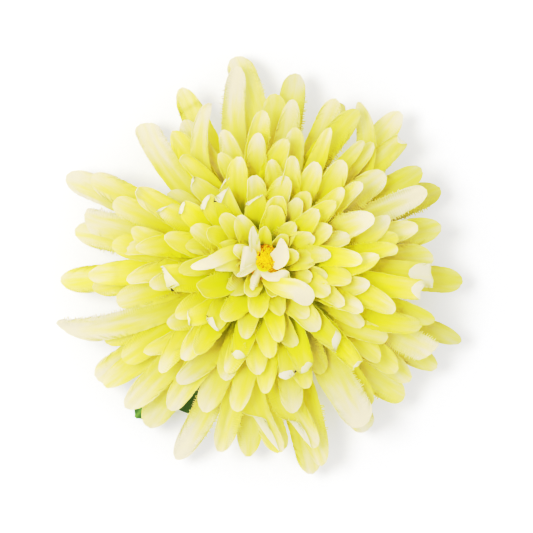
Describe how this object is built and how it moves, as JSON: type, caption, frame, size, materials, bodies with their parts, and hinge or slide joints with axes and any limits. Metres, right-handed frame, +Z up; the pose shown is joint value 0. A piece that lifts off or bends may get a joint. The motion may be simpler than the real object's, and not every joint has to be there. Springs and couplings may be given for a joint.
{
  "type": "artificial chrysanthemum flower head",
  "caption": "Round domed flower head of frayed fabric straps in nested layers on a peg, with a granular heart, a green calyx foot and one lobed leaf; lies face up as decoration.",
  "frame": {"origin": "middle of the flat underside of the calyx foot, on the surface that the flower lies on", "axes": "+Z up along the peg, out of the face of the bloom; +X to the right and +Y to the top of the picture, which looks straight down"},
  "size_m": [0.1238, 0.1267, 0.0425],
  "materials": {
    "petal_fabric": "dip-dyed woven polyester, cream at the tips and yellow-green at the roots, matt with a faint sheen",
    "heart_button": "orange-yellow flocked grains on a moulded peg",
    "calyx_plastic": "satin moulded green plastic",
    "leaf_fabric": "dark green starched fabric with pressed veins"
  },
  "bodies": {
    "root": {"petal_layer_01": "petal_fabric", "petal_layer_02": "petal_fabric", "petal_layer_03": "petal_fabric", "petal_layer_04": "petal_fabric", "petal_layer_05": "petal_fabric", "petal_layer_06": "petal_fabric", "petal_layer_07": "petal_fabric", "petal_layer_08": "petal_fabric", "petal_layer_09": "petal_fabric", "petal_layer_10": "petal_fabric", "petal_layer_11": "petal_fabric", "heart_peg": "heart_button", "calyx": "calyx_plastic", "leaf": "leaf_fabric"}
  },
  "joints": []
}
